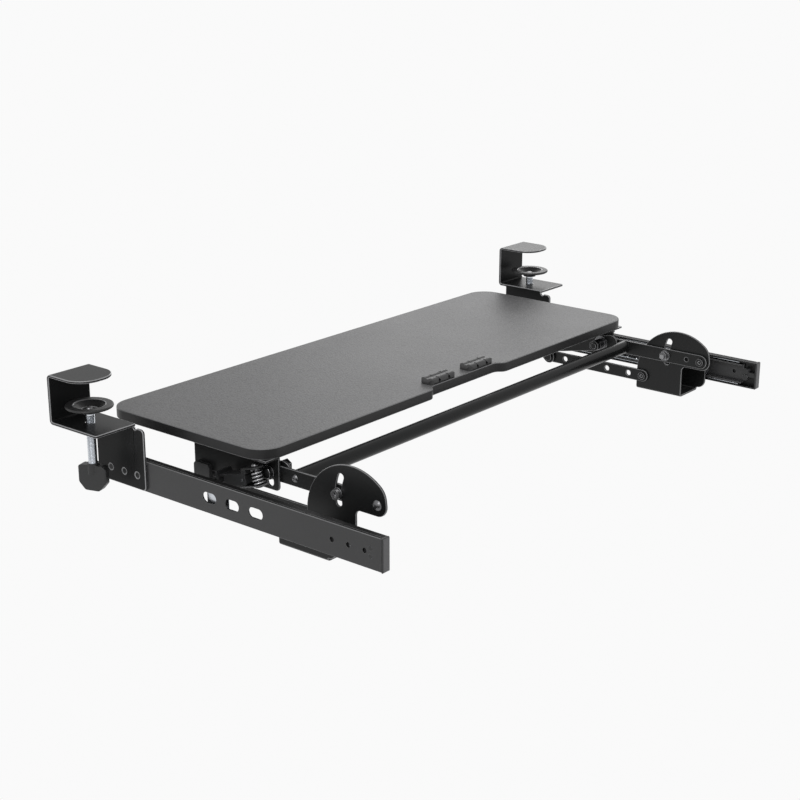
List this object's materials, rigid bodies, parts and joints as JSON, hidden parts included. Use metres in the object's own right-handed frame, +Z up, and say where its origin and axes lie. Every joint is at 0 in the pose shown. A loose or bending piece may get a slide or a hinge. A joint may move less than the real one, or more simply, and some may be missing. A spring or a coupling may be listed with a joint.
{
  "type": "sliding under-desk keyboard tray",
  "caption": "Clamp-on under-desk keyboard tray: black board on height and tilt adjusting arms, carried by two ball-bearing slides under C-clamps.",
  "frame": {"origin": "on the middle plane, at the desk's front edge, level with the desk's top surface", "axes": "+X is the sitter's right, +Y back under the desk, +Z up"},
  "size_m": [0.87, 0.4312, 0.144],
  "materials": {
    "black_steel": "black powder coat, low sheen",
    "black_rail": "black electrophoretic coat, satin",
    "black_laminate": "black laminate with a fine pebble texture over fibreboard",
    "black_plastic": "moulded, light satin",
    "silicone": "matt silicone",
    "zinc": "bright zinc plate",
    "chrome": "polished"
  },
  "bodies": {
    "desk_frame": {"clamp_bracket_right": "black_steel", "clamp_bracket_left": "black_steel", "slide_outer_right": "black_rail", "slide_outer_left": "black_rail", "slide_end_cap_right": "black_plastic", "slide_end_cap_left": "black_plastic", "slide_screws": "black_steel"},
    "middle_members": {"slide_middle_right": "black_rail", "slide_middle_left": "black_rail"},
    "outer_cages": {"ball_cage_outer_right": "zinc", "ball_cage_outer_left": "zinc", "balls_outer_right": "chrome", "balls_outer_left": "chrome"},
    "inner_cages": {"ball_cage_inner_right": "zinc", "ball_cage_inner_left": "zinc", "balls_inner_right": "chrome", "balls_inner_left": "chrome"},
    "carriages": {"slide_inner_right": "black_rail", "slide_inner_left": "black_rail", "carriage_right": "black_steel", "carriage_left": "black_steel", "carriage_screws": "zinc", "arm_pivot_rivets": "zinc", "lower_pivot_rivets": "zinc"},
    "upper_arms": {"upper_arm_right": "black_steel", "upper_arm_left": "black_steel", "cross_tube": "black_steel", "tube_screws": "black_steel", "lock_bolts": "zinc", "lock_nuts": "zinc"},
    "lower_arms": {"lower_arm_right": "black_steel", "lower_arm_left": "black_steel"},
    "hangers": {"hanger_plate_right": "black_steel", "hanger_plate_left": "black_steel", "hanger_rivets": "zinc", "tilt_bolts": "zinc", "tilt_nuts": "zinc", "tilt_washers": "chrome"},
    "tray": {"tray_board": "black_laminate", "tray_bracket_right": "black_steel", "tray_bracket_left": "black_steel", "bracket_screws": "zinc", "pivot_cover_right": "black_plastic", "pivot_cover_left": "black_plastic", "cable_clip_right": "silicone", "cable_clip_left": "silicone", "tilt_pins": "zinc", "lever_spring_right": "chrome", "lever_spring_left": "chrome", "spring_pins": "chrome"},
    "lever_right": {"release_lever_right": "black_plastic"},
    "lever_left": {"release_lever_left": "black_plastic"},
    "clamp_pad_right": {"clamp_pad_right": "black_steel"},
    "clamp_pad_left": {"clamp_pad_left": "black_steel"},
    "screw_right": {"clamp_screw_right": "zinc", "clamp_knob_right": "black_plastic"},
    "screw_left": {"clamp_screw_left": "zinc", "clamp_knob_left": "black_plastic"}
  },
  "joints": [
    {"name": "slide_out", "type": "slide", "parent": "desk_frame", "child": "middle_members", "axis": [0, -1, 0], "range_m": [0, 0.15]},
    {"name": "outer_cage_roll", "type": "slide", "parent": "desk_frame", "child": "outer_cages", "axis": [0, -1, 0], "range_m": [0, 0.075]},
    {"name": "tray_slide", "type": "slide", "parent": "middle_members", "child": "carriages", "axis": [0, -1, 0], "range_m": [-0.045, 0.15]},
    {"name": "inner_cage_roll", "type": "slide", "parent": "middle_members", "child": "inner_cages", "axis": [0, -1, 0], "range_m": [-0.0225, 0.075]},
    {"name": "arm_lift", "type": "hinge", "parent": "carriages", "child": "upper_arms", "pos_m": [0, 0.364, -0.087], "axis": [-1, 0, 0], "range_deg": [-10, 20]},
    {"name": "lower_arm_swing", "type": "hinge", "parent": "carriages", "child": "lower_arms", "pos_m": [0, 0.2795, -0.1215], "axis": [-1, 0, 0], "range_deg": [-10, 20]},
    {"name": "tray_level", "type": "hinge", "parent": "upper_arms", "child": "hangers", "pos_m": [0, 0.216, -0.087], "axis": [-1, 0, 0], "range_deg": [-20, 10]},
    {"name": "tray_tilt", "type": "hinge", "parent": "hangers", "child": "tray", "pos_m": [0, 0.118, -0.107], "axis": [1, 0, 0], "range_deg": [0, 6]},
    {"name": "lever_press_right", "type": "hinge", "parent": "tray", "child": "lever_right", "pos_m": [0.3395, 0.19903, -0.09331], "axis": [1, 0, 0], "range_deg": [-6, 0], "stiffness_Nm_per_rad": 0.8, "springref_deg": 2.86, "deforming": ["lever_spring_right"]},
    {"name": "lever_press_left", "type": "hinge", "parent": "tray", "child": "lever_left", "pos_m": [-0.3395, 0.19903, -0.09331], "axis": [1, 0, 0], "range_deg": [-6, 0], "stiffness_Nm_per_rad": 0.8, "springref_deg": 2.86, "deforming": ["lever_spring_left"]},
    {"name": "clamp_travel_right", "type": "slide", "parent": "desk_frame", "child": "clamp_pad_right", "axis": [0, 0, 1], "range_m": [-0.011, 0.024]},
    {"name": "clamp_turn_right", "type": "hinge", "parent": "clamp_pad_right", "child": "screw_right", "pos_m": [0.408, 0.032, -0.06], "axis": [0, 0, 1], "range_deg": [-2642, 5762]},
    {"name": "clamp_travel_left", "type": "slide", "parent": "desk_frame", "child": "clamp_pad_left", "axis": [0, 0, 1], "range_m": [-0.011, 0.024]},
    {"name": "clamp_turn_left", "type": "hinge", "parent": "clamp_pad_left", "child": "screw_left", "pos_m": [-0.408, 0.032, -0.06], "axis": [0, 0, 1], "range_deg": [-2642, 5762]}
  ],
  "couplings": [
    {"joint": "outer_cage_roll", "follows": "slide_out", "ratio": 0.5},
    {"joint": "inner_cage_roll", "follows": "tray_slide", "ratio": 0.5},
    {"joint": "lower_arm_swing", "follows": "arm_lift", "ratio": 1},
    {"joint": "tray_level", "follows": "arm_lift", "ratio": -1},
    {"joint": "clamp_turn_right", "follows": "clamp_travel_right", "rad_per_m": 4188.8},
    {"joint": "clamp_turn_left", "follows": "clamp_travel_left", "rad_per_m": 4188.8}
  ]
}
